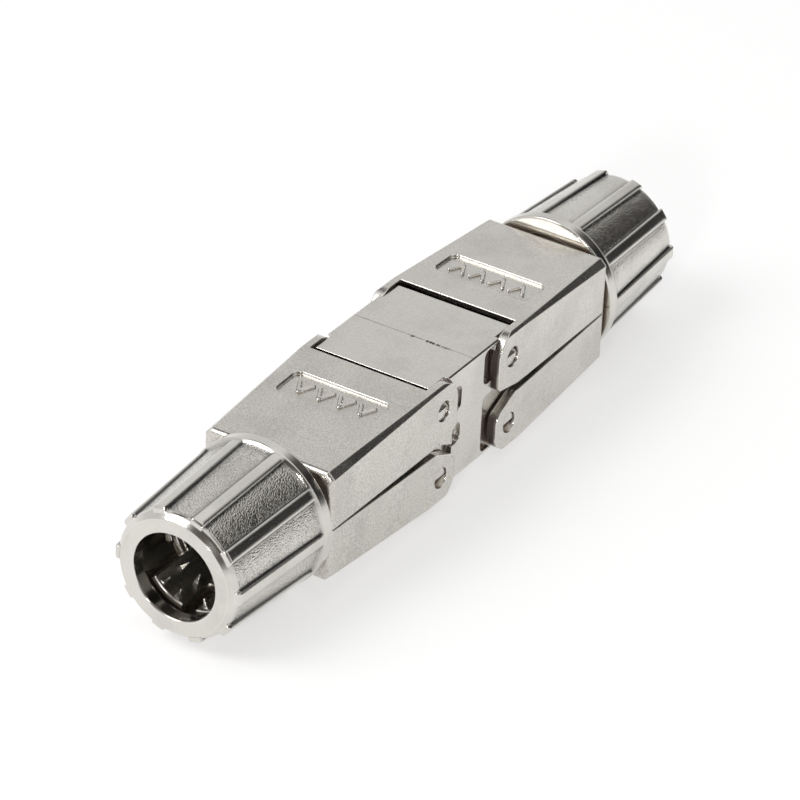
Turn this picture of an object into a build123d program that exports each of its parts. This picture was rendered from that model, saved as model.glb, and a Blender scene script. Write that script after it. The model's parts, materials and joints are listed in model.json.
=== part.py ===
from build123d import *
import os
from math import atan2, cos, degrees, radians, sin

# A shielded inline coupler that joins two data cables without tools.
# Millimetres. X runs along the cables, Z is up, and the origin is the centre of the part.
# Each end has an upper and a lower lid, hinged on the core's pins and held shut by a cap nut.

# Hinge pins of the core and the holes of the lid ears
PIN_X = 5.93
PIN_Z = 3.58
PIN_RADIUS = 0.98
PIN_CLEARANCE = 0.07
PIN_RECESS = 0.2
PIN_RAMP_DEPTH = 0.6

# Lids: outer sizes at the hinge edge of the plate and at the nut end
LID_WIDTH_HINGE = 14.5
LID_WIDTH_NUT = 13.74
LID_HEIGHT_HINGE = 12.6
LID_HEIGHT_NUT = 11.32
LID_PLATE_X = 7.67
LID_END_X = 23.65
LID_WALL = 0.95
LID_END_WALL = 1.0
LID_EDGE_HINGE = 0.27
LID_EDGE_NUT = 0.68
LID_INNER_EDGE = 0.25
LID_END_RADIUS = 0.5
PLATE_EDGE_LAND = 0.35
PLATE_EDGE_BEVEL = 0.85

# Ears and the slanting gap between the upper and the lower lid
EAR_END_X = 3.62
EAR_CORNER_RADIUS = 2.4
UPPER_FOOT_RADIUS = 0.6
LOWER_FOOT_RADIUS = 1.2
SEAM_UPPER_HINGE = 0.25
SEAM_UPPER_NUT = -0.12
SEAM_LOWER_HINGE = 0.6
SEAM_LOWER_NUT = 0.24
UPPER_EAR_FOOT_Z = 0.85
LOWER_EAR_FOOT_Z = 2.1
EAR_SLOPE_LENGTH = 3.4
TAB_START = 0.7
TAB_LENGTH = 2.05
TAB_DROP = 0.98
TAB_OUTER_DROP = 0.05

# Recessed label field of a lid, left bare
LABEL_X = 13.3
LABEL_LENGTH = 3.9
LABEL_WIDTH = 10.4
LABEL_DEPTH = 0.28
LABEL_RADIUS = 0.8

# Clamp fingers at the end of each lid, with teeth that grip the cable's jacket
FINGER_THICKNESS = 0.72
FINGER_END_X = 35.5
FINGER_FROM_DEG = 9.0
FINGER_TO_DEG = 55.0
FINGER_TIP_CHAMFER = 0.25
FINGER_TIP_RADIUS = 0.25
COLLAR_LENGTH = 1.3
COLLAR_TO_DEG = 84.0
TOOTH_BASE = 0.66
TOOTH_POINT = 0.14
TOOTH_HEIGHT = 0.92
TOOTH_SPREAD_DEG = 12.0
TOOTH_ROW_PITCH = 2.85
TOOTH_FRONT_INSET = 0.6

# Cap nut: a hollow cone with a smooth rear band and ten ribs
NUT_GAP = 0.41
NUT_LENGTH = 13.8
NUT_BAND_PROUD = 0.115
NUT_BAND_LENGTH = 1.1
NUT_WALL = 1.745
NUT_PANEL_DEPTH = 0.42
NUT_PANEL_SLOPE = 0.35
NUT_TAPER = 1.145
NUT_FRONT_CHAMFER = 0.55
NUT_SHOULDER_RADIUS = 0.5
NUT_EDGE_RADIUS = 0.18
THREAD_DEPTH = 0.42
THREAD_CLEARANCE = 0.08
NUT_FLANGE = 1.35
NUT_BORE_STEP = 0.11
NUT_BORE_CHAMFER = 0.1
RIB_COUNT = 10
RIB_WIDTH = 1.25
RIB_EDGE_RADIUS = 0.2
RIB_CREST_MARGIN = 0.05
RIB_FRONT_RISE = 0.4
RIB_SETBACK = 0.42
RIB_TIP_RADIUS = 0.45
RIB_FIRST_DEG = 18.0

# Core housing between the lids
CORE_HALF_LENGTH = 6.95
CORE_SIDE_STEP = 0.62
CORE_TOP_STEP = 0.24
CORE_TOP_RADIUS = 0.25
CORE_BOTTOM_RADIUS = 0.9
CORE_WALL = 1.15
EAR_CLEARANCE = 0.2
RELIEF_MARGIN = 0.3
WINDOW_X = 1.9
WINDOW_RADIUS = 0.7
LARGE_WINDOWS_Z = ((2.1, 5.7), (-5.2, 0.8))
SMALL_WINDOWS_Z = ((1.75, 4.3), (-1.75, 0.45))
SLEEVE_LENGTH = 1.9
SLEEVE_CLEARANCE = 0.35

# Circuit board and what stands on it
BOARD_THICKNESS = 1.0
BOARD_HALF_LENGTH = 15.8
BOARD_GROOVE = 0.45
BOARD_CLEARANCE = 0.05
BLOCK_START_X = 9.5
BLOCK_LENGTH = 6.0
BLOCK_BOARD_MARGIN = 0.05
BLOCK_HEIGHT = 2.45
MOULDING_CHAMFER = 0.35
WIRES_PER_BLOCK = 4
WIRE_PITCH_MARGIN = 0.05
WIRE_RADIUS = 0.62
CONTACT_THICKNESS = 0.4
CONTACT_WIDTH = 1.7
CONTACT_ABOVE_BLOCK = 1.2
CONTACT_SLOT = 0.36
CONTACT_SLOT_DEPTH = 1.9
CONTACT_LEAD_IN = 0.24
CONTACT_LEG_WIDTH = 0.6
CONTACT_CLEARANCE = 0.05
CONTACT_STAGGER = 2.2
CONTACT_SIDE_OFFSET = 0.9
GUIDE_GAP = 0.15
GUIDE_LID_GAP = 0.06
GUIDE_INSET = 0.2

# Places and sizes that follow from the values above
PIN_HOLE_RADIUS = PIN_RADIUS + PIN_CLEARANCE
LID_TAPER_LENGTH = LID_END_X - LID_PLATE_X
EAR_OUTER_Y = LID_WIDTH_HINGE / 2
EAR_INNER_Y = EAR_OUTER_Y - LID_WALL
CORE_EAR_Y = EAR_INNER_Y - EAR_CLEARANCE
CORE_WIDTH = LID_WIDTH_HINGE - 2 * CORE_SIDE_STEP
CORE_HEIGHT = LID_HEIGHT_HINGE - 2 * CORE_TOP_STEP
NUT_BAND_RADIUS = EAR_OUTER_Y + NUT_BAND_PROUD
NUT_FRONT_RADIUS = NUT_BAND_RADIUS - NUT_TAPER
NUT_CAVITY_RADIUS = NUT_BAND_RADIUS - NUT_WALL
FINGER_OUTER_RADIUS = NUT_CAVITY_RADIUS - THREAD_DEPTH - THREAD_CLEARANCE
CABLE_RADIUS = FINGER_OUTER_RADIUS - FINGER_THICKNESS
NUT_BORE_RADIUS = CABLE_RADIUS - NUT_BORE_STEP
NUT_REAR_X = LID_END_X + NUT_GAP
NUT_FRONT_X = NUT_REAR_X + NUT_LENGTH
BOARD_TOP = BOARD_THICKNESS / 2
BLOCK_TOP = BOARD_TOP + BLOCK_HEIGHT
CONTACT_TOP = BLOCK_TOP + CONTACT_ABOVE_BLOCK
BLOCK_MIDDLE_X = BLOCK_START_X + BLOCK_LENGTH / 2
CHANNEL_HALF_WIDTH = CORE_EAR_Y - CORE_WALL
CHANNEL_HALF_HEIGHT = CORE_HEIGHT / 2 - CORE_WALL
BOARD_HALF_WIDTH = CHANNEL_HALF_WIDTH + BOARD_GROOVE - BOARD_CLEARANCE
BLOCK_WIDTH = 2 * (BOARD_HALF_WIDTH - BLOCK_BOARD_MARGIN)
WIRE_PITCH = BLOCK_WIDTH / WIRES_PER_BLOCK - WIRE_PITCH_MARGIN

SIDE_TURN_DEG = {"right": 0, "left": 180}
LEVEL_FLIP_DEG = {"upper": 0, "lower": 180}


def span(x_range, y_range, z_range):
    """A box between two limits on each axis."""
    sizes = [high - low for low, high in (x_range, y_range, z_range)]
    centre = [(low + high) / 2 for low, high in (x_range, y_range, z_range)]
    return Pos(*centre) * Box(*sizes)


def side_prism(points, y_low, y_high):
    """A prism whose outline is given as x and z, standing between two y values."""
    outline = make_face(Polyline(*[(x, y_low, z) for x, z in points], close=True))
    return extrude(outline, amount=y_high - y_low, dir=(0, 1, 0))


def lid_half_size(x):
    """Half width and half height of the closed lids at a distance from the middle."""
    share = (x - LID_PLATE_X) / LID_TAPER_LENGTH
    half_width = (LID_WIDTH_HINGE + share * (LID_WIDTH_NUT - LID_WIDTH_HINGE)) / 2
    half_height = (LID_HEIGHT_HINGE + share * (LID_HEIGHT_NUT - LID_HEIGHT_HINGE)) / 2
    return half_width, half_height


def bevelled_section(x, half_width, half_height, corner):
    """A rectangle with bevelled corners, square to the X axis."""
    rectangle = Rectangle(2 * half_width, 2 * half_height)
    return Plane.YZ.offset(x) * chamfer(rectangle.vertices(), corner)


def tapered_block(x_start, x_end, inset, corners):
    """The closed lids' outer form between two places, drawn in by an inset."""
    sections = []
    for x, corner in zip((x_start, x_end), corners):
        half_width, half_height = lid_half_size(x)
        sections.append(bevelled_section(x, half_width - inset, half_height - inset, corner))
    return loft(sections, ruled=True)


def lid_envelope():
    """The outer form of a closed pair of lids. Its bevelled edges widen towards the nut."""
    tapered = tapered_block(LID_PLATE_X, LID_END_X, 0, (LID_EDGE_HINGE, LID_EDGE_NUT))
    end_face = tapered.faces().sort_by(Axis.X)[-1]
    tapered = fillet(end_face.edges(), LID_END_RADIUS)
    section = bevelled_section(EAR_END_X, EAR_OUTER_Y, LID_HEIGHT_HINGE / 2, LID_EDGE_HINGE)
    straight = extrude(section, amount=LID_PLATE_X - EAR_END_X, dir=(1, 0, 0))
    return straight + tapered


def lid_outline(seam_hinge, seam_nut, foot_z, foot_radius):
    """What one lid keeps of the envelope, seen from the side, down to the seam."""
    top = LID_HEIGHT_HINGE / 2
    past_end = LID_END_X + LID_END_WALL
    slope_end_x = EAR_END_X + EAR_SLOPE_LENGTH
    slope = (seam_nut - seam_hinge) / (LID_END_X - slope_end_x)
    points = [
        (EAR_END_X, top),
        (EAR_END_X, foot_z),
        (slope_end_x, seam_hinge),
        (past_end, seam_nut + slope * LID_END_WALL),
        (past_end, top),
    ]
    face = make_face(Polyline(*[(x, 0, z) for x, z in points], close=True))
    corners = face.vertices().group_by(Axis.X)[0].sort_by(Axis.Z)
    face = fillet(corners[-1], EAR_CORNER_RADIUS)
    foot = face.vertices().sort_by_distance((EAR_END_X, 0, foot_z))[0]
    face = fillet(foot, foot_radius)
    return extrude(face, amount=LID_WIDTH_HINGE, both=True)


def ring_sector(radius_in, radius_out, x_range, from_deg, to_deg):
    """A piece of a tube along X, between two angles measured from the top towards +Y."""
    outer = [(radius_out * sin(radians(a)), radius_out * cos(radians(a)))
             for a in (from_deg, (from_deg + to_deg) / 2, to_deg)]
    inner = [(radius_in * sin(radians(a)), radius_in * cos(radians(a)))
             for a in (to_deg, (from_deg + to_deg) / 2, from_deg)]
    edges = [
        ThreePointArc(*outer),
        Line(outer[-1], inner[0]),
        ThreePointArc(*inner),
        Line(inner[-1], outer[0]),
    ]
    face = Plane.YZ.offset(x_range[0]) * make_face(edges)
    return extrude(face, amount=x_range[1] - x_range[0], dir=(1, 0, 0))


def tooth(x, angle_deg):
    """A four-sided spike that stands on a finger and points at the cable's axis."""
    root_radius = CABLE_RADIUS + FINGER_THICKNESS / 2
    height = TOOTH_HEIGHT + FINGER_THICKNESS / 2
    spike = loft([
        Rectangle(TOOTH_BASE, TOOTH_BASE),
        Pos(0, 0, height) * Rectangle(TOOTH_POINT, TOOTH_POINT),
    ])
    return Rot(-angle_deg, 0, 0) * Pos(x, 0, root_radius) * Rot(180, 0, 0) * spike


def clamp_fingers():
    """Two fingers with teeth, and the half collar that carries them."""
    wall_x = LID_END_X - LID_END_WALL
    collar = ring_sector(CABLE_RADIUS, FINGER_OUTER_RADIUS, (wall_x, LID_END_X + COLLAR_LENGTH),
                         -COLLAR_TO_DEG, COLLAR_TO_DEG)
    fingers = [collar]
    middle_deg = (FINGER_FROM_DEG + FINGER_TO_DEG) / 2
    for side in (-1, 1):
        limits = sorted((side * FINGER_FROM_DEG, side * FINGER_TO_DEG))
        finger = ring_sector(CABLE_RADIUS, FINGER_OUTER_RADIUS, (wall_x, FINGER_END_X), *limits)
        tip = finger.faces().sort_by(Axis.X)[-1]
        tip_edge = tip.edges().filter_by(GeomType.CIRCLE).sort_by(SortBy.RADIUS)[-1]
        finger = chamfer(tip_edge, FINGER_TIP_CHAMFER)
        tip = finger.faces().sort_by(Axis.X)[-1]
        lip_edge = tip.edges().filter_by(GeomType.CIRCLE).sort_by(SortBy.RADIUS)[0]
        fingers.append(fillet(lip_edge, FINGER_TIP_RADIUS))
        for row in (0, 1):
            x = FINGER_END_X - TOOTH_FRONT_INSET - row * TOOTH_ROW_PITCH
            for offset in (-TOOTH_SPREAD_DEG, TOOTH_SPREAD_DEG):
                fingers.append(tooth(x, side * middle_deg + offset))
    return fingers


def ear_tab(foot_z):
    """The small hooked tab under one ear of an upper lid."""
    start_x = EAR_END_X + TAB_START
    end_x = start_x + TAB_LENGTH
    root_z = foot_z + UPPER_FOOT_RADIUS
    points = [
        (start_x, root_z),
        (start_x, SEAM_UPPER_HINGE - TAB_DROP),
        (end_x, SEAM_UPPER_HINGE - TAB_OUTER_DROP),
        (end_x, root_z),
    ]
    return side_prism(points, EAR_INNER_Y, EAR_OUTER_Y)


def lid(level):
    """One lid at the right-hand end, made in the upper position."""
    if level == "upper":
        outline = lid_outline(SEAM_UPPER_HINGE, SEAM_UPPER_NUT, UPPER_EAR_FOOT_Z, UPPER_FOOT_RADIUS)
    else:
        outline = lid_outline(SEAM_LOWER_HINGE, SEAM_LOWER_NUT, LOWER_EAR_FOOT_Z, LOWER_FOOT_RADIUS)
    body = lid_envelope() & outline
    end_wall_x = LID_END_X - LID_END_WALL
    body -= tapered_block(LID_PLATE_X - LID_WALL, end_wall_x, LID_WALL, (LID_INNER_EDGE, LID_INNER_EDGE))
    notch_y = (-EAR_INNER_Y, EAR_INNER_Y)
    top = LID_HEIGHT_HINGE / 2
    body -= span((0, LID_PLATE_X), notch_y, (-top, 2 * top))
    bevel = [
        (LID_PLATE_X - LID_WALL, top - PLATE_EDGE_LAND),
        (LID_PLATE_X, top - PLATE_EDGE_LAND),
        (LID_PLATE_X + PLATE_EDGE_BEVEL, top - LID_WALL),
        (LID_PLATE_X + PLATE_EDGE_BEVEL, top - 2 * LID_WALL),
        (LID_PLATE_X - LID_WALL, top - 2 * LID_WALL),
    ]
    body -= side_prism(bevel, *notch_y)
    body -= Pos(LID_END_X, 0, 0) * Rot(0, 90, 0) * Cylinder(CABLE_RADIUS, 3 * LID_END_WALL)
    label = extrude(RectangleRounded(LABEL_LENGTH, LABEL_WIDTH, LABEL_RADIUS), amount=LID_WALL)
    slope_deg = degrees(atan2((LID_HEIGHT_HINGE - LID_HEIGHT_NUT) / 2, LID_TAPER_LENGTH))
    label_z = lid_half_size(LABEL_X)[1] - LABEL_DEPTH
    body -= Pos(LABEL_X, 0, label_z) * Rot(0, slope_deg, 0) * label
    if level == "upper":
        body += ear_tab(UPPER_EAR_FOOT_Z)
    hole = Pos(PIN_X, 0, PIN_Z) * Rot(90, 0, 0) * Cylinder(PIN_HOLE_RADIUS, 2 * LID_WIDTH_HINGE)
    body -= hole
    for piece in clamp_fingers():
        body += piece
    return body


def circles_of_radius(shape, radius):
    """The round edges whose radius is within the small edge rounding of a value."""
    circles = shape.edges().filter_by(GeomType.CIRCLE)
    return circles.filter_by(lambda edge: abs(edge.radius - radius) < NUT_EDGE_RADIUS)


def nut_ribs():
    """Ten ribs with rounded edges and tips, as five bars right through the axis."""
    rear_x = NUT_REAR_X + NUT_BAND_LENGTH / 2
    rear_radius = NUT_BAND_RADIUS - NUT_EDGE_RADIUS / 2
    front_x = NUT_FRONT_X - RIB_SETBACK
    front_radius = NUT_FRONT_RADIUS + RIB_FRONT_RISE
    bar = loft([Plane.YZ.offset(x) * RectangleRounded(RIB_WIDTH, 2 * radius, RIB_EDGE_RADIUS)
                for x, radius in ((rear_x, rear_radius), (front_x, front_radius))])
    envelope = turned([
        (rear_x, 0),
        (rear_x, rear_radius + RIB_CREST_MARGIN),
        (front_x, front_radius + RIB_CREST_MARGIN),
        (front_x, 0),
    ])
    rim = envelope.edges().filter_by(GeomType.CIRCLE).sort_by(Axis.X)[-1]
    bar = bar & fillet(rim, RIB_TIP_RADIUS)
    bars = Part()
    for index in range(RIB_COUNT // 2):
        bars += Rot(RIB_FIRST_DEG + index * 360 / RIB_COUNT, 0, 0) * bar
    return bars


def cap_nut():
    """The right-hand cap nut: body, ribs, cavity and cable bore."""
    band_end = NUT_REAR_X + NUT_BAND_LENGTH
    body = turned([
        (NUT_REAR_X, 0),
        (NUT_REAR_X, NUT_BAND_RADIUS),
        (band_end, NUT_BAND_RADIUS),
        (band_end + NUT_PANEL_SLOPE, NUT_BAND_RADIUS - NUT_PANEL_DEPTH),
        (NUT_FRONT_X - NUT_FRONT_CHAMFER, NUT_FRONT_RADIUS),
        (NUT_FRONT_X, NUT_FRONT_RADIUS - NUT_FRONT_CHAMFER),
        (NUT_FRONT_X, 0),
    ])
    body = fillet(circles_of_radius(body, NUT_BAND_RADIUS), NUT_EDGE_RADIUS)
    body = fillet(circles_of_radius(body, NUT_FRONT_RADIUS), NUT_SHOULDER_RADIUS)
    body += nut_ribs()
    cone_end = NUT_FRONT_X - NUT_FLANGE
    cone_start = cone_end - (NUT_CAVITY_RADIUS - NUT_BORE_RADIUS)
    cavity = turned([
        (NUT_REAR_X - NUT_GAP, 0),
        (NUT_REAR_X - NUT_GAP, NUT_CAVITY_RADIUS),
        (cone_start, NUT_CAVITY_RADIUS),
        (cone_end, NUT_BORE_RADIUS),
        (NUT_FRONT_X - NUT_BORE_CHAMFER, NUT_BORE_RADIUS),
        (NUT_FRONT_X, NUT_BORE_RADIUS + NUT_BORE_CHAMFER),
        (NUT_FRONT_X + NUT_GAP, NUT_BORE_RADIUS + NUT_BORE_CHAMFER),
        (NUT_FRONT_X + NUT_GAP, 0),
    ])
    return body - cavity


def turned(points):
    """A body turned about the X axis from points given as x and radius."""
    face = make_face(Polyline(*[(x, 0, r) for x, r in points], close=True))
    return revolve(face, Axis.X)


def hinge_pin(side, level):
    """A pin on one side of the core, with a ramp that lets an ear snap over it."""
    length = EAR_OUTER_Y - PIN_RECESS - CORE_EAR_Y + CORE_WALL / 2
    from_base = (Align.CENTER, Align.CENTER, Align.MIN)
    pin = Rot(-90, 0, 0) * Cylinder(PIN_RADIUS, length, align=from_base)
    ramp = [
        (length, 0),
        (length + PIN_RADIUS, 0),
        (length + PIN_RADIUS, 2 * PIN_RADIUS),
        (length - PIN_RAMP_DEPTH, 2 * PIN_RADIUS),
        (length - PIN_RAMP_DEPTH, PIN_RADIUS),
    ]
    face = make_face(Polyline(*[(-PIN_RADIUS, y, z) for y, z in ramp], close=True))
    pin -= extrude(face, amount=2 * PIN_RADIUS, dir=(1, 0, 0))
    if level < 0:
        pin = mirror(pin, Plane.XY)
    pin = Pos(0, CORE_EAR_Y - CORE_WALL / 2, level * PIN_Z) * pin
    return pin if side > 0 else mirror(pin, Plane.XZ)


def side_relief(windows_z):
    """What is cut from one side of the core's right-hand half: room for the ears, and two windows."""
    ear_x = EAR_END_X - RELIEF_MARGIN
    half_height = LID_HEIGHT_HINGE / 2 + RELIEF_MARGIN
    relief_y = (CORE_EAR_Y, CORE_WIDTH)
    cut = span((ear_x, CORE_HALF_LENGTH + SLEEVE_LENGTH), relief_y, (-half_height, half_height))
    cut = fillet(cut.edges().filter_by(Axis.Y).group_by(Axis.X)[0], EAR_CORNER_RADIUS + RELIEF_MARGIN)
    for window_z in windows_z:
        window = span((WINDOW_X, EAR_END_X), relief_y, window_z)
        cut += fillet(window.edges().filter_by(Axis.Y).group_by(Axis.X)[0], WINDOW_RADIUS)
    return cut


def core_housing():
    """The one-piece cast core: a tube with eight hinge pins and grooves for the board."""
    body = Box(2 * CORE_HALF_LENGTH, CORE_WIDTH, CORE_HEIGHT)
    long_edges = body.edges().filter_by(Axis.X).group_by(Axis.Z)
    body = fillet(long_edges[-1], CORE_TOP_RADIUS)
    bottom_edges = body.edges().filter_by(Axis.X).group_by(Axis.Z)[0]
    body = fillet(bottom_edges, CORE_BOTTOM_RADIUS)
    for turn_deg in (0, 180):
        body -= Rot(0, 0, turn_deg) * side_relief(SMALL_WINDOWS_Z)
        body -= Rot(0, 0, turn_deg) * mirror(side_relief(LARGE_WINDOWS_Z), Plane.XZ)
    sleeve_x = CORE_HALF_LENGTH + SLEEVE_LENGTH
    half_width, half_height = lid_half_size(sleeve_x)
    sleeve_size = (half_width - LID_WALL - SLEEVE_CLEARANCE, half_height - LID_WALL - SLEEVE_CLEARANCE)
    body += Box(2 * sleeve_x, 2 * sleeve_size[0], 2 * sleeve_size[1])
    channel = RectangleRounded(2 * CHANNEL_HALF_WIDTH, 2 * CHANNEL_HALF_HEIGHT, CORE_WALL / 2)
    body -= extrude(Plane.YZ.offset(-sleeve_x) * channel, amount=2 * sleeve_x)
    groove_half_width = CHANNEL_HALF_WIDTH + BOARD_GROOVE
    body -= Box(2 * sleeve_x, 2 * groove_half_width, BOARD_THICKNESS + 2 * BOARD_CLEARANCE)
    for x_side in (-1, 1):
        for y_side in (-1, 1):
            for level in (-1, 1):
                body += Pos(x_side * PIN_X, 0, 0) * hinge_pin(y_side, level)
    return body


def wire_places():
    """The y places of the wires of one block."""
    first = -(WIRES_PER_BLOCK - 1) / 2 * WIRE_PITCH
    return [first + index * WIRE_PITCH for index in range(WIRES_PER_BLOCK)]


def contact_place(index, level):
    """The x place of a contact: neighbours are staggered, and the two faces of the board differ."""
    stagger = CONTACT_STAGGER / 2 * (-1) ** index
    offset = CONTACT_SIDE_OFFSET / 2 if level == "upper" else -CONTACT_SIDE_OFFSET / 2
    return BLOCK_MIDDLE_X + stagger + offset


def contact(index, level):
    """A forked contact that cuts into a wire, with a leg in the board, in the upper position."""
    half_width = CONTACT_WIDTH / 2
    half_slot = CONTACT_SLOT / 2
    half_leg = CONTACT_LEG_WIDTH / 2
    slot_floor = CONTACT_TOP - CONTACT_SLOT_DEPTH
    right_side = [
        (half_leg, -BOARD_TOP),
        (half_leg, BOARD_TOP),
        (half_width, BOARD_TOP),
        (half_width, CONTACT_TOP - CONTACT_LEAD_IN),
        (half_width - CONTACT_LEAD_IN, CONTACT_TOP),
        (half_slot + CONTACT_LEAD_IN, CONTACT_TOP),
        (half_slot, CONTACT_TOP - CONTACT_LEAD_IN),
        (half_slot, slot_floor),
    ]
    left_side = [(-y, z) for y, z in reversed(right_side)]
    x_start = contact_place(index, level) - CONTACT_THICKNESS / 2
    y_middle = wire_places()[index]
    outline = [(x_start, y_middle + y, z) for y, z in right_side + left_side]
    return extrude(make_face(Polyline(*outline, close=True)), amount=CONTACT_THICKNESS, dir=(1, 0, 0))


def contact_slots(level, z_low, z_high):
    """Clearance slots for the blades of one block."""
    slots = Part()
    for index, y in enumerate(wire_places()):
        x = contact_place(index, level)
        half_x = CONTACT_THICKNESS / 2 + CONTACT_CLEARANCE
        half_y = CONTACT_WIDTH / 2 + CONTACT_CLEARANCE
        slots += span((x - half_x, x + half_x), (y - half_y, y + half_y), (z_low, z_high))
    return slots


def wire_troughs(z):
    """Round troughs along X in which the wires lie."""
    troughs = Part()
    for y in wire_places():
        troughs += Pos(BLOCK_MIDDLE_X, y, z) * Rot(0, 90, 0) * Cylinder(WIRE_RADIUS, 2 * BLOCK_LENGTH)
    return troughs


def terminal_block(level):
    """The moulded block on the board that holds four contacts, in the upper position."""
    half_width = BLOCK_WIDTH / 2
    x_range = (BLOCK_START_X, BLOCK_START_X + BLOCK_LENGTH)
    body = span(x_range, (-half_width, half_width), (BOARD_TOP, BLOCK_TOP))
    body = chamfer(body.edges().filter_by(Axis.Z), MOULDING_CHAMFER)
    body -= contact_slots(level, 0, CONTACT_TOP)
    return body - wire_troughs(BLOCK_TOP)


def wire_guide(level):
    """The insert in a lid that presses four wires into the contacts, in the upper position."""
    half_width = BLOCK_WIDTH / 2
    x_range = (BLOCK_START_X + GUIDE_INSET, BLOCK_START_X + BLOCK_LENGTH - GUIDE_INSET)
    guide_top = lid_half_size(x_range[1])[1] - LID_WALL - GUIDE_LID_GAP
    guide_bottom = BLOCK_TOP + GUIDE_GAP
    body = span(x_range, (-half_width, half_width), (guide_bottom, guide_top))
    body = chamfer(body.edges().filter_by(Axis.X).group_by(Axis.Z)[-1], MOULDING_CHAMFER)
    slot_top = CONTACT_TOP + CONTACT_CLEARANCE
    body -= contact_slots(level, BOARD_TOP, slot_top)
    return body - wire_troughs(guide_bottom)


def circuit_board():
    """The board that carries the conductors from one end to the other."""
    body = Box(2 * BOARD_HALF_LENGTH, 2 * BOARD_HALF_WIDTH, BOARD_THICKNESS)
    half_x = CONTACT_THICKNESS / 2 + CONTACT_CLEARANCE
    half_y = CONTACT_LEG_WIDTH / 2 + CONTACT_CLEARANCE
    for turn_deg in SIDE_TURN_DEG.values():
        for level, flip_deg in LEVEL_FLIP_DEG.items():
            for index, y in enumerate(wire_places()):
                x = contact_place(index, level)
                z_range = (-BOARD_THICKNESS, BOARD_THICKNESS)
                hole = span((x - half_x, x + half_x), (y - half_y, y + half_y), z_range)
                body -= Rot(0, 0, turn_deg) * Rot(flip_deg, 0, 0) * hole
    return body


def all_parts():
    """Every piece in its place, by name."""
    parts = {"core_housing": core_housing(), "circuit_board": circuit_board()}
    nut = cap_nut()
    for level, flip_deg in LEVEL_FLIP_DEG.items():
        pieces = {
            f"{level}_lid": lid(level),
            f"{level}_terminal_block": terminal_block(level),
            f"{level}_wire_guide": wire_guide(level),
        }
        for index in range(WIRES_PER_BLOCK):
            pieces[f"{level}_contact_{index + 1}"] = contact(index, level)
        for side, turn_deg in SIDE_TURN_DEG.items():
            for name, piece in pieces.items():
                parts[f"{name}_{side}"] = Rot(0, 0, turn_deg) * Rot(flip_deg, 0, 0) * piece
    for side, turn_deg in SIDE_TURN_DEG.items():
        parts[f"cap_nut_{side}"] = Rot(0, 0, turn_deg) * nut
    return parts


os.makedirs("parts", exist_ok=True)
for part_name, part_shape in all_parts().items():
    export_step(part_shape, f"parts/{part_name}.step")
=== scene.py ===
import json
from math import atan2, ceil, cos, pi, radians, sin

import bpy
from mathutils import Matrix, Vector


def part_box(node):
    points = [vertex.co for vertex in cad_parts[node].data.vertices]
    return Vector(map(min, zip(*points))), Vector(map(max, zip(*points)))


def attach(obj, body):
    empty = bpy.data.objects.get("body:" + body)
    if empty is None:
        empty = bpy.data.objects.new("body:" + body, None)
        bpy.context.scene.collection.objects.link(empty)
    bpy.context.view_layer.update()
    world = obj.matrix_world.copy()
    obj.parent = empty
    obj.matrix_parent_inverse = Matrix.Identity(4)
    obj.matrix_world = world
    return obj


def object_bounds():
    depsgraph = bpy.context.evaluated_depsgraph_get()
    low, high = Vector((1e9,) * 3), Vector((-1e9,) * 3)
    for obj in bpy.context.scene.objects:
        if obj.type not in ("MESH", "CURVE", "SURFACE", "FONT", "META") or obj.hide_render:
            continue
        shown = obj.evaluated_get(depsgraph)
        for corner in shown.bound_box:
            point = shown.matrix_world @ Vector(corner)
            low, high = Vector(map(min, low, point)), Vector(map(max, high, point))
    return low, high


# Looks of a shielded inline coupler for data cables. The solids come from the frame, and this script
# adds their satin metal, the threads of nuts and clamp fingers, the raised marks of the label fields,
# the studio and the camera. Lengths are millimetres until they are handed to Blender. A pair of limits
# says where a mask is nought and where it is one.
MM = 0.001
SIDES = {"left": -1, "right": 1}
LEVELS = {"upper": 1, "lower": -1}

# Camera of the photograph
CAMERA_PLACE = (-301.172, -182.766, 216.907)
CAMERA_FORWARD = (0.72597, 0.44322, -0.52585)
CAMERA_RIGHT = (0.54142, -0.83982, 0.03960)
CAMERA_LENS = 201.57
SENSOR_WIDTH = 36.0
CLIP_M = (0.01, 100.0)

# Forms of the solids that the materials and the marks follow. The lid's outer height falls from the
# hinge edge of its plate to its nut end, and the nut is a cone behind its front shoulder.
LID_HINGE_X = 7.67
LID_NUT_X = 23.65
LID_NUT_TOP = 5.66
EAR_END_BEYOND = (0.2, 0.4)
EAR_END_FACING = (-0.6, -0.9)
EAR_INSIDE_Y = (7.1, 6.9)
WINDOW_Y = (6.1, 5.9)
WINDOW_Z = (5.8, 5.6)
SEAM_Z = (5.7, 5.95)
NUT_CREST_FRONT = 6.6
NUT_BAND = (1.0, 1.3)
NUT_SHOULDER = (0.75, 1.0)
NUT_SKIN = (1.0, 0.8)
NUT_PANEL = (0.2, 0.3)

# Thread between cap nut and clamp fingers
THREAD_PITCH = 0.7
THREAD_RIDGE_BASE = 0.5
THREAD_RIDGE_CREST = 0.1
THREAD_SINK = 0.03
THREAD_STEPS_PER_TURN = 96
NUT_THREAD_ROOT = 5.62
NUT_THREAD_CREST = 5.2
NUT_THREAD_FROM = 0.9
NUT_THREAD_TO = 6.9
FINGER_THREAD_ROOT = 5.12
FINGER_THREAD_CREST = 5.5
FINGER_THREAD_FROM_X = 25.0
FINGER_THREAD_TO_X = 34.6
FINGER_FROM_DEG = 11.0
FINGER_TO_DEG = 53.0

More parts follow.
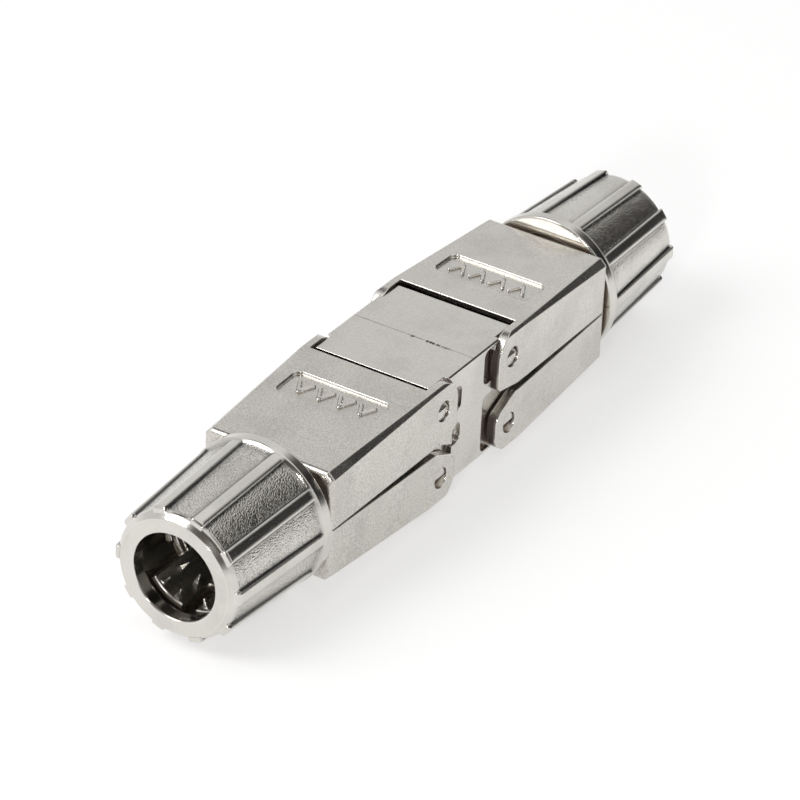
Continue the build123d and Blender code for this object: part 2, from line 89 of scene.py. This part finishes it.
# Raised marks in the label field: a plain row of chevrons that point to the cable's entry
LABEL_X = 13.3
LABEL_FLOOR_DEPTH = 0.28
CHEVRON_Y = (-3.3, -1.1, 1.1, 3.3)
CHEVRON_LENGTH = 1.5
CHEVRON_HALF_WIDTH = 0.72
MARK_WIDTH = 0.42
MARK_DRAFT = 0.13
MARK_RISE = 0.26
MARK_SINK = 0.05
MARK_CAP_STEPS = 8

# Nickel plate. Sizes and depths are those of noise and bumps, and worn edges are found by the cosine
# between the rounded and the flat normal.
LID_COLOR = (0.7, 0.678, 0.637)
CORE_COLOR = (0.705, 0.683, 0.642)
NUT_COLOR = (0.695, 0.674, 0.633)
STAIN_TONE = 0.9
WORN_TONE = 1.06
WORN_POLISH = 0.08
WORN_COSINE = (0.995, 0.93)
WAVE_SIZE = 2.6
WAVE_DEPTH = 0.012
STAIN_SIZE = 5.5
STAIN_LIMITS = (0.42, 0.68)
STAIN_ROUGHNESS = (-0.03, 0.04)
SCRATCH_SIZE = 0.22
SCRATCH_STRETCH = (0.08, 1.0, 1.0)
SCRATCH_LIMITS = (0.68, 0.75)
SCRATCH_DULLNESS = 0.1
PIT_COLOR = (0.62, 0.605, 0.58, 1.0)
PIT_LIMITS = (0.62, 0.34)
# Grain of the mould in the nuts' sunk panels, and the share of all grain that the right end keeps
PANEL_GRAIN = 0.13
PANEL_GRAIN_DEPTH = 0.056
PANEL_PIT_LIMITS = (0.58, 0.36)
PANEL_PITTING = 0.4
FAR_GRAIN = 0.55
RIB_ROUNDING = 0.5
# Dull corners with painted shade, pockets that no light gets into with a dark painted shade, and painted shade
# in the creases beside the ribs
CORNER_REACH = 1.3
CORNER_LIMITS = (0.5, 0.12)
CORNER_PAINTED_SHADE = (0.6, 0.52, 0.45, 1.0)
CORNER_DULLNESS = 0.3
POCKET_PAINTED_SHADE = (0.14, 0.115, 0.108, 1.0)
CREASE_REACH = 0.9
CREASE_LIMITS = (0.92, 0.76)
CREASE_PAINTED_SHADE = (0.09, 0.086, 0.082, 1.0)
# Parting line across the core, which wanders a little and is ragged round one place
SEAM_COLOR = (0.05, 0.045, 0.04, 1.0)
SEAM_DULLNESS = 0.3
SEAM_HALF_WIDTH = 0.06
SEAM_WANDER = 0.22
SEAM_FADE_SIZE = 2.4
SEAM_FADE = (0.35, 0.7)
RAGGED_Y = -1.4
RAGGED_REACH = (3.6, 1.4)
RAGGED_SIZE = 0.45
RAGGED_STRETCH = (0.3, 1.0, 1.0)
RAGGED_LIMITS = (0.46, 0.58)
RAGGED_WIDTH = 0.11

# Inner pieces
MASK_COLOR = (0.012, 0.11, 0.045, 1.0)
TRACK_COLOR = (0.04, 0.21, 0.09, 1.0)
TRACKS_PER_M = 190.0
TRACK_LIMITS = (0.55, 0.7)
TRACK_HEIGHT = 0.03
PLASTIC_LIGHT = (0.8, 0.785, 0.73, 1.0)
PLASTIC_DARK = (0.71, 0.69, 0.63, 1.0)
PLASTIC_ROUNDING = 0.08
BRONZE_LIGHT = (0.82, 0.64, 0.36, 1.0)
BRONZE_DARK = (0.62, 0.47, 0.27, 1.0)
BRONZE_STRETCH = (1.0, 1.0, 0.1)

# Studio
WHITE = (1.0, 1.0, 1.0, 1.0)
# Brightness of the studio by height, from the horizon up
SKY_STOPS = ((0.0, 1.0), (0.14, 0.86), (0.42, 0.76), (0.62, 0.82), (0.85, 0.95))
FLOOR_SIZE = 4000.0
FLOOR_GLOW = 0.5
FLOOR_COLOR = (0.6, 0.6, 0.6, 1.0)
FLOOR_BOUNCE = (0.85, 0.85, 0.85, 1.0)
# Directions that stay dark in reflections, each with its inner and outer angle and its colour
DARK_LOBES = (((0.74, -0.51, 0.44), 20.0, 38.0, (0.09, 0.086, 0.083)),
              ((-0.69, -0.39, 0.61), 24.0, 44.0, (0.11, 0.1, 0.085)),
              ((0.25, 0.44, 0.86), 7.0, 17.0, (0.04, 0.04, 0.04)),
              ((0.73, -0.58, 0.365), 8.0, 19.0, (0.03, 0.029, 0.03)))
KEY_DIRECTION = (-0.525, 0.443, 0.725)
KEY_DISTANCE = 700.0
KEY_SIZE = 360.0
KEY_POWER = 1.5
# A small lamp beside the camera, which picks out the teeth and the finger tips inside the bore
BORE_LAMP_DIRECTION = (-0.87, -0.3, 0.38)
BORE_LAMP_DISTANCE = 700.0
BORE_LAMP_SIZE = 90.0
BORE_LAMP_POWER = 1.0

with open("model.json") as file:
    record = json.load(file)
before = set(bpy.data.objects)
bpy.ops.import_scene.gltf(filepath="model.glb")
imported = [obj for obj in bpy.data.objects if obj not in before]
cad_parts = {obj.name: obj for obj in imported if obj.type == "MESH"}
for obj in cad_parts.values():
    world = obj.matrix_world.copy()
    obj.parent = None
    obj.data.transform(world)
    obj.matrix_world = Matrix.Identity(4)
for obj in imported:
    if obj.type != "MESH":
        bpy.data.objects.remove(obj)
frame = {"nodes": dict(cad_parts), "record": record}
cad_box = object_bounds()
nodes = frame["nodes"]

nut_low, nut_high = (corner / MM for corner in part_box("cap_nut_right"))
lid_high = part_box("upper_lid_right")[1] / MM
NUT_REAR = nut_low.x
NUT_BAND_RADIUS = nut_high.z
NUT_LENGTH = nut_high.x - nut_low.x
NUT_SLOPE = (NUT_BAND_RADIUS - NUT_CREST_FRONT) / NUT_LENGTH


def node(tree, kind, inputs=(), **settings):
    """Adds a shader node. A socket given as an input is linked, and any other value is set."""
    made = tree.nodes.new(kind)
    for key, value in settings.items():
        setattr(made, key, value)
    for key, value in dict(inputs).items():
        if isinstance(value, bpy.types.NodeSocket):
            tree.links.new(value, made.inputs[key])
        else:
            made.inputs[key].default_value = value
    return made


def math(tree, operation, first, second=0.0):
    return node(tree, "ShaderNodeMath", {0: first, 1: second}, operation=operation).outputs[0]


def smooth_step(tree, value, low, high, to_low=0.0, to_high=1.0):
    inputs = {"Value": value, "From Min": low, "From Max": high, "To Min": to_low, "To Max": to_high}
    return node(tree, "ShaderNodeMapRange", inputs, interpolation_type="SMOOTHSTEP").outputs["Result"]


def in_metres(limits):
    return [limit * MM for limit in limits]


def mix_color(tree, factor, first, second, blend="MIX"):
    return node(tree, "ShaderNodeMix", {0: factor, 6: first, 7: second},
                data_type="RGBA", blend_type=blend).outputs[2]


def noise(tree, place, size, detail=2.0, roughness=0.5):
    """Noise whose features are about size millimetres wide."""
    inputs = {"Vector": place, "Scale": 1 / (size * MM), "Detail": detail, "Roughness": roughness}
    return node(tree, "ShaderNodeTexNoise", inputs).outputs["Fac"]


def bump(tree, height, depth, normal):
    """Bump whose full height is depth millimetres."""
    inputs = {"Strength": 1.0, "Distance": depth * MM, "Height": height, "Normal": normal}
    return node(tree, "ShaderNodeBump", inputs).outputs["Normal"]


def bevel(tree, radius, samples=8):
    return node(tree, "ShaderNodeBevel", {"Radius": radius * MM}, samples=samples).outputs["Normal"]


def flat_normal(tree):
    return tree.nodes.new("ShaderNodeNewGeometry").outputs["Normal"]


def openness(tree, reach):
    """One in the open, and less where other surfaces stand within reach millimetres."""
    return node(tree, "ShaderNodeAmbientOcclusion", {"Distance": reach * MM}, samples=8).outputs["AO"]


def stretched(tree, place, scale):
    return node(tree, "ShaderNodeMapping", {"Vector": place, "Scale": scale}).outputs["Vector"]


def axes_of(tree, vector):
    """The sockets X, Y and Z of a vector."""
    return node(tree, "ShaderNodeSeparateXYZ", {0: vector}).outputs


def dot(tree, first, second):
    return node(tree, "ShaderNodeVectorMath", {0: first, 1: second}, operation="DOT_PRODUCT").outputs["Value"]


def new_material(name):
    material = bpy.data.materials.new(name)
    material.use_nodes = True
    tree = material.node_tree
    place = tree.nodes.new("ShaderNodeTexCoord").outputs["Object"]
    return material, tree, tree.nodes["Principled BSDF"], place


def satin_metal(name, kind, color, roughness, grain, grain_depth, edge, pitting):
    """Satin nickel plate on a casting: grain, slow waves, stains, dull corners, edges rubbed bright, and
    painted shade in corners, creases and pockets.
    """
    material, tree, surface, place = new_material(name)
    rounded = bevel(tree, edge)
    coarse = smooth_step(tree, axes_of(tree, place)["X"], -NUT_REAR * MM, NUT_REAR * MM, 1.0, FAR_GRAIN)
    if kind == "nut":
        ribbed, sunk = nut_zones(tree, place)
        sunk = math(tree, "MULTIPLY", sunk, coarse)
        rounded = node(tree, "ShaderNodeMix", {0: ribbed, 4: rounded, 5: bevel(tree, RIB_ROUNDING)},
                       data_type="VECTOR").outputs[1]
    worn = smooth_step(tree, dot(tree, rounded, flat_normal(tree)), *WORN_COSINE)

    fine = noise(tree, place, grain, detail=3.0, roughness=0.65)
    stain = noise(tree, place, STAIN_SIZE, detail=4.0, roughness=0.6)
    scratch_place = stretched(tree, place, SCRATCH_STRETCH)
    scratch = smooth_step(tree, noise(tree, scratch_place, SCRATCH_SIZE), *SCRATCH_LIMITS)

    normal = bump(tree, noise(tree, place, WAVE_SIZE), WAVE_DEPTH, rounded)
    normal = bump(tree, fine, grain_depth, normal)
    pits = math(tree, "MULTIPLY", smooth_step(tree, fine, *PIT_LIMITS), math(tree, "MULTIPLY", coarse, pitting))
    if kind == "nut":
        lumps = noise(tree, place, PANEL_GRAIN, detail=0.0)
        normal = bump(tree, math(tree, "MULTIPLY", lumps, sunk), PANEL_GRAIN_DEPTH, normal)
        lump_pits = math(tree, "MULTIPLY", smooth_step(tree, lumps, *PANEL_PIT_LIMITS), sunk)
        pits = math(tree, "ADD", pits, math(tree, "MULTIPLY", lump_pits, PANEL_PITTING))

    stained = [STAIN_TONE * c for c in color]
    shade = mix_color(tree, smooth_step(tree, stain, *STAIN_LIMITS), (*color, 1.0), (*stained, 1.0))
    shade = mix_color(tree, pits, shade, PIT_COLOR, blend="MULTIPLY")
    bright = [WORN_TONE * c for c in color]
    shade = mix_color(tree, worn, shade, (*bright, 1.0))
    # Painted shade: where other surfaces stand close, the colour is darkened towards a brown, and these corners
    # are also made dull.
    closed = smooth_step(tree, openness(tree, CORNER_REACH), *CORNER_LIMITS)
    shade = mix_color(tree, closed, shade, CORNER_PAINTED_SHADE)
    if kind == "nut":
        # Painted shade: a dark line in the creases at the feet of the ribs.
        crease_shade = smooth_step(tree, openness(tree, CREASE_REACH), *CREASE_LIMITS)
        shade = mix_color(tree, math(tree, "MULTIPLY", crease_shade, ribbed), shade, CREASE_PAINTED_SHADE)
    # Painted shade: the ears' end faces and the core's windows get a dark colour, and are made dull like the
    # corners.
    if kind in SHADED_POCKETS:
        pocket_shade = SHADED_POCKETS[kind](tree, place)
        closed = math(tree, "MAXIMUM", closed, pocket_shade)
        shade = mix_color(tree, pocket_shade, shade, POCKET_PAINTED_SHADE)

    low, high = (roughness + change for change in STAIN_ROUGHNESS)
    rough = smooth_step(tree, stain, 0.3, 0.7, low, high)
    rough = math(tree, "SUBTRACT", rough, math(tree, "MULTIPLY", worn, WORN_POLISH))
    rough = math(tree, "ADD", rough, math(tree, "MULTIPLY", scratch, SCRATCH_DULLNESS))
    rough = math(tree, "ADD", rough, math(tree, "MULTIPLY", closed, CORNER_DULLNESS))
    if kind == "core":
        line = seam_line(tree, place)
        shade = mix_color(tree, line, shade, SEAM_COLOR)
        rough = math(tree, "ADD", rough, math(tree, "MULTIPLY", line, SEAM_DULLNESS))
    finish(tree, surface, shade, rough, normal)
    surface.inputs["Metallic"].default_value = 1.0
    return material


def finish(tree, surface, shade, rough, normal):
    tree.links.new(shade, surface.inputs["Base Color"])
    tree.links.new(rough, surface.inputs["Roughness"])
    tree.links.new(normal, surface.inputs["Normal"])


def nut_zones(tree, place):
    """The nut's ribbed stretch, and in it the sunk panels, which keep the mould's coarse grain."""
    axes = axes_of(tree, place)
    radius = math(tree, "SQRT", math(tree, "ADD", math(tree, "POWER", axes["Y"], 2.0),
                                     math(tree, "POWER", axes["Z"], 2.0)))
    from_rear = math(tree, "SUBTRACT", math(tree, "ABSOLUTE", axes["X"]), NUT_REAR * MM)
    cone = math(tree, "SUBTRACT", NUT_BAND_RADIUS * MM, math(tree, "MULTIPLY", from_rear, NUT_SLOPE))
    depth = math(tree, "SUBTRACT", cone, radius)
    before_shoulder = smooth_step(tree, from_rear, *in_metres(NUT_LENGTH - back for back in NUT_SHOULDER))
    outside = smooth_step(tree, depth, *in_metres(NUT_SKIN))
    sunk = smooth_step(tree, depth, *in_metres(NUT_PANEL))
    behind_band = smooth_step(tree, from_rear, *in_metres(NUT_BAND))
    ribbed = math(tree, "MULTIPLY", math(tree, "MULTIPLY", before_shoulder, behind_band), outside)
    return ribbed, math(tree, "MULTIPLY", sunk, ribbed)


def ear_ends(tree, place):
    """One on the end faces of the ears, which stand in the shade of the core's pockets."""
    axes = axes_of(tree, place)
    normal = tree.nodes.new("ShaderNodeTexCoord").outputs["Normal"]
    inward = math(tree, "MULTIPLY", axes_of(tree, normal)["X"], math(tree, "SIGN", axes["X"]))
    facing = smooth_step(tree, inward, *EAR_END_FACING)
    near = smooth_step(tree, math(tree, "ABSOLUTE", axes["X"]),
                       *in_metres(LID_HINGE_X - beyond for beyond in EAR_END_BEYOND))
    inside = smooth_step(tree, math(tree, "ABSOLUTE", axes["Y"]), *in_metres(EAR_INSIDE_Y))
    return math(tree, "MULTIPLY", facing, math(tree, "MULTIPLY", near, inside))


def core_windows(tree, place):
    """One inside the core's side windows, where no light gets in and the plate is dull."""
    axes = axes_of(tree, place)
    deep = smooth_step(tree, math(tree, "ABSOLUTE", axes["Y"]), *in_metres(WINDOW_Y))
    low = smooth_step(tree, math(tree, "ABSOLUTE", axes["Z"]), *in_metres(WINDOW_Z))
    return math(tree, "MULTIPLY", deep, low)


SHADED_POCKETS = {"core": core_windows, "lid": ear_ends}


def seam_line(tree, place):
    """One on the parting line across the core's top and bottom."""
    axes = axes_of(tree, place)
    flash = noise(tree, stretched(tree, place, RAGGED_STRETCH), RAGGED_SIZE, detail=4.0, roughness=0.75)
    ragged = smooth_step(tree, math(tree, "ABSOLUTE", math(tree, "SUBTRACT", axes["Y"], RAGGED_Y * MM)),
                         *in_metres(RAGGED_REACH))
    bits = math(tree, "MULTIPLY", smooth_step(tree, flash, *RAGGED_LIMITS), ragged)
    wander = math(tree, "MULTIPLY", math(tree, "SUBTRACT", flash, 0.5), SEAM_WANDER * MM)
    away = math(tree, "ABSOLUTE", math(tree, "ADD", axes["X"], wander))
    width = math(tree, "ADD", SEAM_HALF_WIDTH * MM, math(tree, "MULTIPLY", bits, RAGGED_WIDTH * MM))
    thin = math(tree, "LESS_THAN", away, width)
    faded = smooth_step(tree, noise(tree, place, SEAM_FADE_SIZE), 0.38, 0.62, *SEAM_FADE)
    shown = math(tree, "MAXIMUM", faded, bits)
    outer = smooth_step(tree, math(tree, "ABSOLUTE", axes["Z"]), *in_metres(SEAM_Z))
    return math(tree, "MULTIPLY", outer, math(tree, "MULTIPLY", thin, shown))


def solder_mask():
    """Green mask over copper tracks that run from end to end."""
    material, tree, surface, place = new_material("board_green")
    inputs = {"Vector": place, "Scale": TRACKS_PER_M, "Distortion": 1.5, "Detail": 1.0}
    wave = node(tree, "ShaderNodeTexWave", inputs, bands_direction="Y").outputs["Fac"]
    track = smooth_step(tree, wave, *TRACK_LIMITS)
    dust = noise(tree, place, 0.3, detail=3.0)
    finish(tree, surface, mix_color(tree, track, MASK_COLOR, TRACK_COLOR),
           smooth_step(tree, dust, 0.2, 0.8, 0.28, 0.42),
           bump(tree, track, TRACK_HEIGHT, flat_normal(tree)))
    return material


def moulded_plastic():
    """Off-white plastic, a little cloudy, with the mould's fine grain."""
    material, tree, surface, place = new_material("insulator_plastic")
    cloud = noise(tree, place, 1.8, detail=3.0)
    rounded = bevel(tree, PLASTIC_ROUNDING, samples=4)
    finish(tree, surface, mix_color(tree, smooth_step(tree, cloud, 0.35, 0.7), PLASTIC_LIGHT, PLASTIC_DARK),
           smooth_step(tree, cloud, 0.2, 0.8, 0.42, 0.56),
           bump(tree, noise(tree, place, 0.12), 0.006, rounded))
    return material


def spring_bronze():
    """Bronze with the streaks of rolled strip."""
    material, tree, surface, place = new_material("contact_bronze")
    streak = noise(tree, stretched(tree, place, BRONZE_STRETCH), 0.12, detail=3.0)
    finish(tree, surface, mix_color(tree, streak, BRONZE_LIGHT, BRONZE_DARK),
           smooth_step(tree, streak, 0.2, 0.8, 0.2, 0.34),
           bump(tree, streak, 0.004, flat_normal(tree)))
    surface.inputs["Metallic"].default_value = 1.0
    return material


materials = {
    "lid_metal": satin_metal("lid_nickel", "lid", LID_COLOR, roughness=0.24, grain=0.16,
                             grain_depth=0.012, edge=0.2, pitting=0.7),
    "core_metal": satin_metal("core_nickel", "core", CORE_COLOR, roughness=0.2, grain=0.2,
                              grain_depth=0.004, edge=0.12, pitting=0.35),
    "nut_metal": satin_metal("nut_nickel", "nut", NUT_COLOR, roughness=0.15, grain=0.15,
                             grain_depth=0.003, edge=0.2, pitting=0.12),
    "board": solder_mask(),
    "insulator": moulded_plastic(),
    "contact_metal": spring_bronze(),
}
for part in frame["record"]["subparts"]:
    mesh = nodes[part["node"]].data
    mesh.materials.clear()
    mesh.materials.append(materials[part["material_slot"]])


def piece(name, points, faces, slot, body, smooth=True):
    """A mesh of the scene that moves with a body and takes a slot's finish."""
    mesh = bpy.data.meshes.new(name)
    mesh.from_pydata([Vector(p) * MM for p in points], [], faces)
    mesh.polygons.foreach_set("use_smooth", [smooth] * len(faces))
    mesh.validate()
    mesh.update()
    mesh.materials.append(materials[slot])
    made = bpy.data.objects.new(name, mesh)
    bpy.context.scene.collection.objects.link(made)
    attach(made, body)
    return made


def thread_ridge(x_from, x_to, root, crest, phase, sectors):
    """Points and faces of a helical ridge round X, kept inside the given sectors of the circle."""
    step = 2 * pi / THREAD_STEPS_PER_TURN
    steps = ceil((x_to - x_from) / THREAD_PITCH * THREAD_STEPS_PER_TURN)
    sink = THREAD_SINK if root > crest else -THREAD_SINK
    section = ((-THREAD_RIDGE_BASE / 2, root + sink), (-THREAD_RIDGE_CREST / 2, crest),
               (THREAD_RIDGE_CREST / 2, crest), (THREAD_RIDGE_BASE / 2, root + sink))
    points = []
    faces = []
    run = []
    for i in range(steps + 1):
        turn = phase + i * step
        inside = any(low <= turn % (2 * pi) <= high for low, high in sectors)
        if inside and i < steps:
            run.append(i)
            continue
        if len(run) > 1:
            faces += ridge_faces(len(points), len(run), len(section))
            for j in run:
                angle = phase + j * step
                x = x_from + j * THREAD_PITCH / THREAD_STEPS_PER_TURN
                points += [(x + along, radius * cos(angle), radius * sin(angle)) for along, radius in section]
        run = []
    return points, faces


def ridge_faces(start, rings, corners):
    """Faces of a closed bar whose cross-sections follow one another from the point numbered start."""
    faces = []
    for ring in range(rings - 1):
        here = start + ring * corners
        for k in range(corners):
            following = (k + 1) % corners
            faces.append((here + k, here + following, here + corners + following, here + corners + k))
    last = start + (rings - 1) * corners
    faces.append(tuple(start + k for k in reversed(range(corners))))
    faces.append(tuple(last + k for k in range(corners)))
    return faces


def turned_for_side(points, side):
    """The left end is the right end turned by half a turn about Z."""
    sign = SIDES[side]
    return [(sign * x, sign * y, z) for x, y, z in points]


def add_threads(side):
    whole = [(0.0, 2 * pi)]
    rear = NUT_REAR + NUT_THREAD_FROM
    front = NUT_REAR + NUT_THREAD_TO
    points, faces = thread_ridge(rear, front, NUT_THREAD_ROOT, NUT_THREAD_CREST, 0.0, whole)
    piece(f"nut_thread_{side}", turned_for_side(points, side), faces, "nut_metal", f"{side}_nut")
    low, high = radians(FINGER_FROM_DEG), radians(FINGER_TO_DEG)
    phase = 2 * pi * ((FINGER_THREAD_FROM_X - rear) / THREAD_PITCH + 0.5)
    for level, sign in LEVELS.items():
        top = sign * pi / 2 % (2 * pi)
        sectors = [(top + low, top + high), (top - high, top - low)]
        points, faces = thread_ridge(FINGER_THREAD_FROM_X, FINGER_THREAD_TO_X, FINGER_THREAD_ROOT,
                                     FINGER_THREAD_CREST, phase, sectors)
        piece(f"{level}_finger_thread_{side}", turned_for_side(points, side), faces, "lid_metal",
              "coupler_body")


def stroke(start, end, floor):
    """A raised bar with round ends and drafted sides, from start to end on the plane z = floor(x)."""
    heading = atan2(end[1] - start[1], end[0] - start[0])
    points = []
    for inset, rise in ((0.0, -MARK_SINK), (0.0, MARK_RISE - MARK_DRAFT), (MARK_DRAFT, MARK_RISE)):
        half = MARK_WIDTH / 2 - inset
        for centre, turn in ((end, -pi / 2), (start, pi / 2)):
            for k in range(MARK_CAP_STEPS + 1):
                angle = heading + turn + pi * k / MARK_CAP_STEPS
                x = centre[0] + half * cos(angle)
                y = centre[1] + half * sin(angle)
                points.append((x, y, floor(x) + rise))
    return points, ridge_faces(0, 3, 2 * (MARK_CAP_STEPS + 1))


def add_marks(side, level):
    """Chevrons that point to the cable's entry, where the real lid has lettering."""
    slope = (lid_high.z - LID_NUT_TOP) / (LID_NUT_X - LID_HINGE_X)

    def floor(x):
        return lid_high.z - slope * (x - LID_HINGE_X) - LABEL_FLOOR_DEPTH

    tip_x = LABEL_X + CHEVRON_LENGTH / 2
    foot_x = LABEL_X - CHEVRON_LENGTH / 2
    points = []
    faces = []
    for y in CHEVRON_Y:
        for half in (-CHEVRON_HALF_WIDTH, CHEVRON_HALF_WIDTH):
            bar_points, bar_faces = stroke((foot_x, y + half), (tip_x, y), floor)
            faces += [tuple(index + len(points) for index in face) for face in bar_faces]
            points += bar_points
    if level == "lower":
        points = [(x, -y, -z) for x, y, z in points]
    piece(f"{level}_mark_{side}", turned_for_side(points, side), faces, "lid_metal", "coupler_body",
          smooth=False)


for side in SIDES:
    add_threads(side)
    for level in LEVELS:
        add_marks(side, level)


def studio_world():
    """White for the camera, and for reflections a studio that is dark where the photographer stands."""
    world = bpy.data.worlds.new("studio")
    world.use_nodes = True
    bpy.context.scene.world = world
    tree = world.node_tree
    direction = tree.nodes.new("ShaderNodeTexCoord").outputs["Generated"]
    ramp = node(tree, "ShaderNodeValToRGB", {"Fac": axes_of(tree, direction)["Z"]})
    for index, (at, level) in enumerate(SKY_STOPS):
        stop = ramp.color_ramp.elements[index] if index < 2 else ramp.color_ramp.elements.new(at)
        stop.position = at
        stop.color = (level, level, level, 1.0)
    light = ramp.outputs["Color"]
    for centre, inner, outer, color in DARK_LOBES:
        towards = dot(tree, direction, Vector(centre).normalized())
        cover = smooth_step(tree, towards, cos(radians(outer)), cos(radians(inner)))
        light = mix_color(tree, cover, light, (*color, 1.0))
    seen = tree.nodes.new("ShaderNodeLightPath").outputs["Is Camera Ray"]
    light = mix_color(tree, seen, light, WHITE)
    background = tree.nodes["Background"]
    tree.links.new(light, background.inputs["Color"])
    background.inputs["Strength"].default_value = 1.0


def studio_floor():
    """A white floor that keeps the object's shadow."""
    half = FLOOR_SIZE / 2
    low = cad_box[0][2]
    mesh = bpy.data.meshes.new("floor")
    corners = [(-half * MM, -half * MM, low), (half * MM, -half * MM, low),
               (half * MM, half * MM, low), (-half * MM, half * MM, low)]
    mesh.from_pydata(corners, [], [(0, 1, 2, 3)])
    mesh.update()
    material = bpy.data.materials.new("floor_white")
    material.use_nodes = True
    tree = material.node_tree
    tree.nodes.remove(tree.nodes["Principled BSDF"])
    paths = tree.nodes.new("ShaderNodeLightPath")
    seen = math(tree, "MAXIMUM", paths.outputs["Is Camera Ray"],
                math(tree, "MAXIMUM", paths.outputs["Is Glossy Ray"], paths.outputs["Is Transmission Ray"]))
    glow = node(tree, "ShaderNodeEmission", {"Color": WHITE, "Strength": FLOOR_GLOW})
    shaded = node(tree, "ShaderNodeBsdfDiffuse", {"Color": FLOOR_COLOR})
    bounce = node(tree, "ShaderNodeBsdfDiffuse", {"Color": FLOOR_BOUNCE})
    both = node(tree, "ShaderNodeAddShader", {0: glow.outputs[0], 1: shaded.outputs[0]})
    final = node(tree, "ShaderNodeMixShader", {0: seen, 1: bounce.outputs[0], 2: both.outputs[0]})
    tree.links.new(final.outputs[0], tree.nodes["Material Output"].inputs["Surface"])
    mesh.materials.append(material)
    floor = bpy.data.objects.new("floor", mesh)
    bpy.context.scene.collection.objects.link(floor)


def round_lamp(name, towards, distance, size, power):
    """A round soft lamp that shines at the middle of the part."""
    lamp = bpy.data.lights.new(name, "AREA")
    lamp.shape = "DISK"
    lamp.size = size * MM
    lamp.energy = power
    made = bpy.data.objects.new(name, lamp)
    direction = Vector(towards).normalized()
    made.location = direction * distance * MM
    made.rotation_euler = direction.to_track_quat("Z", "Y").to_euler()
    bpy.context.scene.collection.objects.link(made)


def photo_camera():
    lens = bpy.data.cameras.new("camera")
    lens.sensor_width = SENSOR_WIDTH
    lens.lens = CAMERA_LENS
    lens.clip_start, lens.clip_end = CLIP_M
    camera = bpy.data.objects.new("camera", lens)
    back = -Vector(CAMERA_FORWARD).normalized()
    up = back.cross(Vector(CAMERA_RIGHT)).normalized()
    right = up.cross(back)
    turn = Matrix((right, up, back)).transposed().to_4x4()
    camera.matrix_world = Matrix.Translation(Vector(CAMERA_PLACE) * MM) @ turn
    bpy.context.scene.collection.objects.link(camera)
    bpy.context.scene.camera = camera


studio_world()
studio_floor()
round_lamp("key", KEY_DIRECTION, KEY_DISTANCE, KEY_SIZE, KEY_POWER)
round_lamp("bore_lamp", BORE_LAMP_DIRECTION, BORE_LAMP_DISTANCE, BORE_LAMP_SIZE, BORE_LAMP_POWER)
photo_camera()
bpy.context.scene.view_settings.view_transform = "Standard"
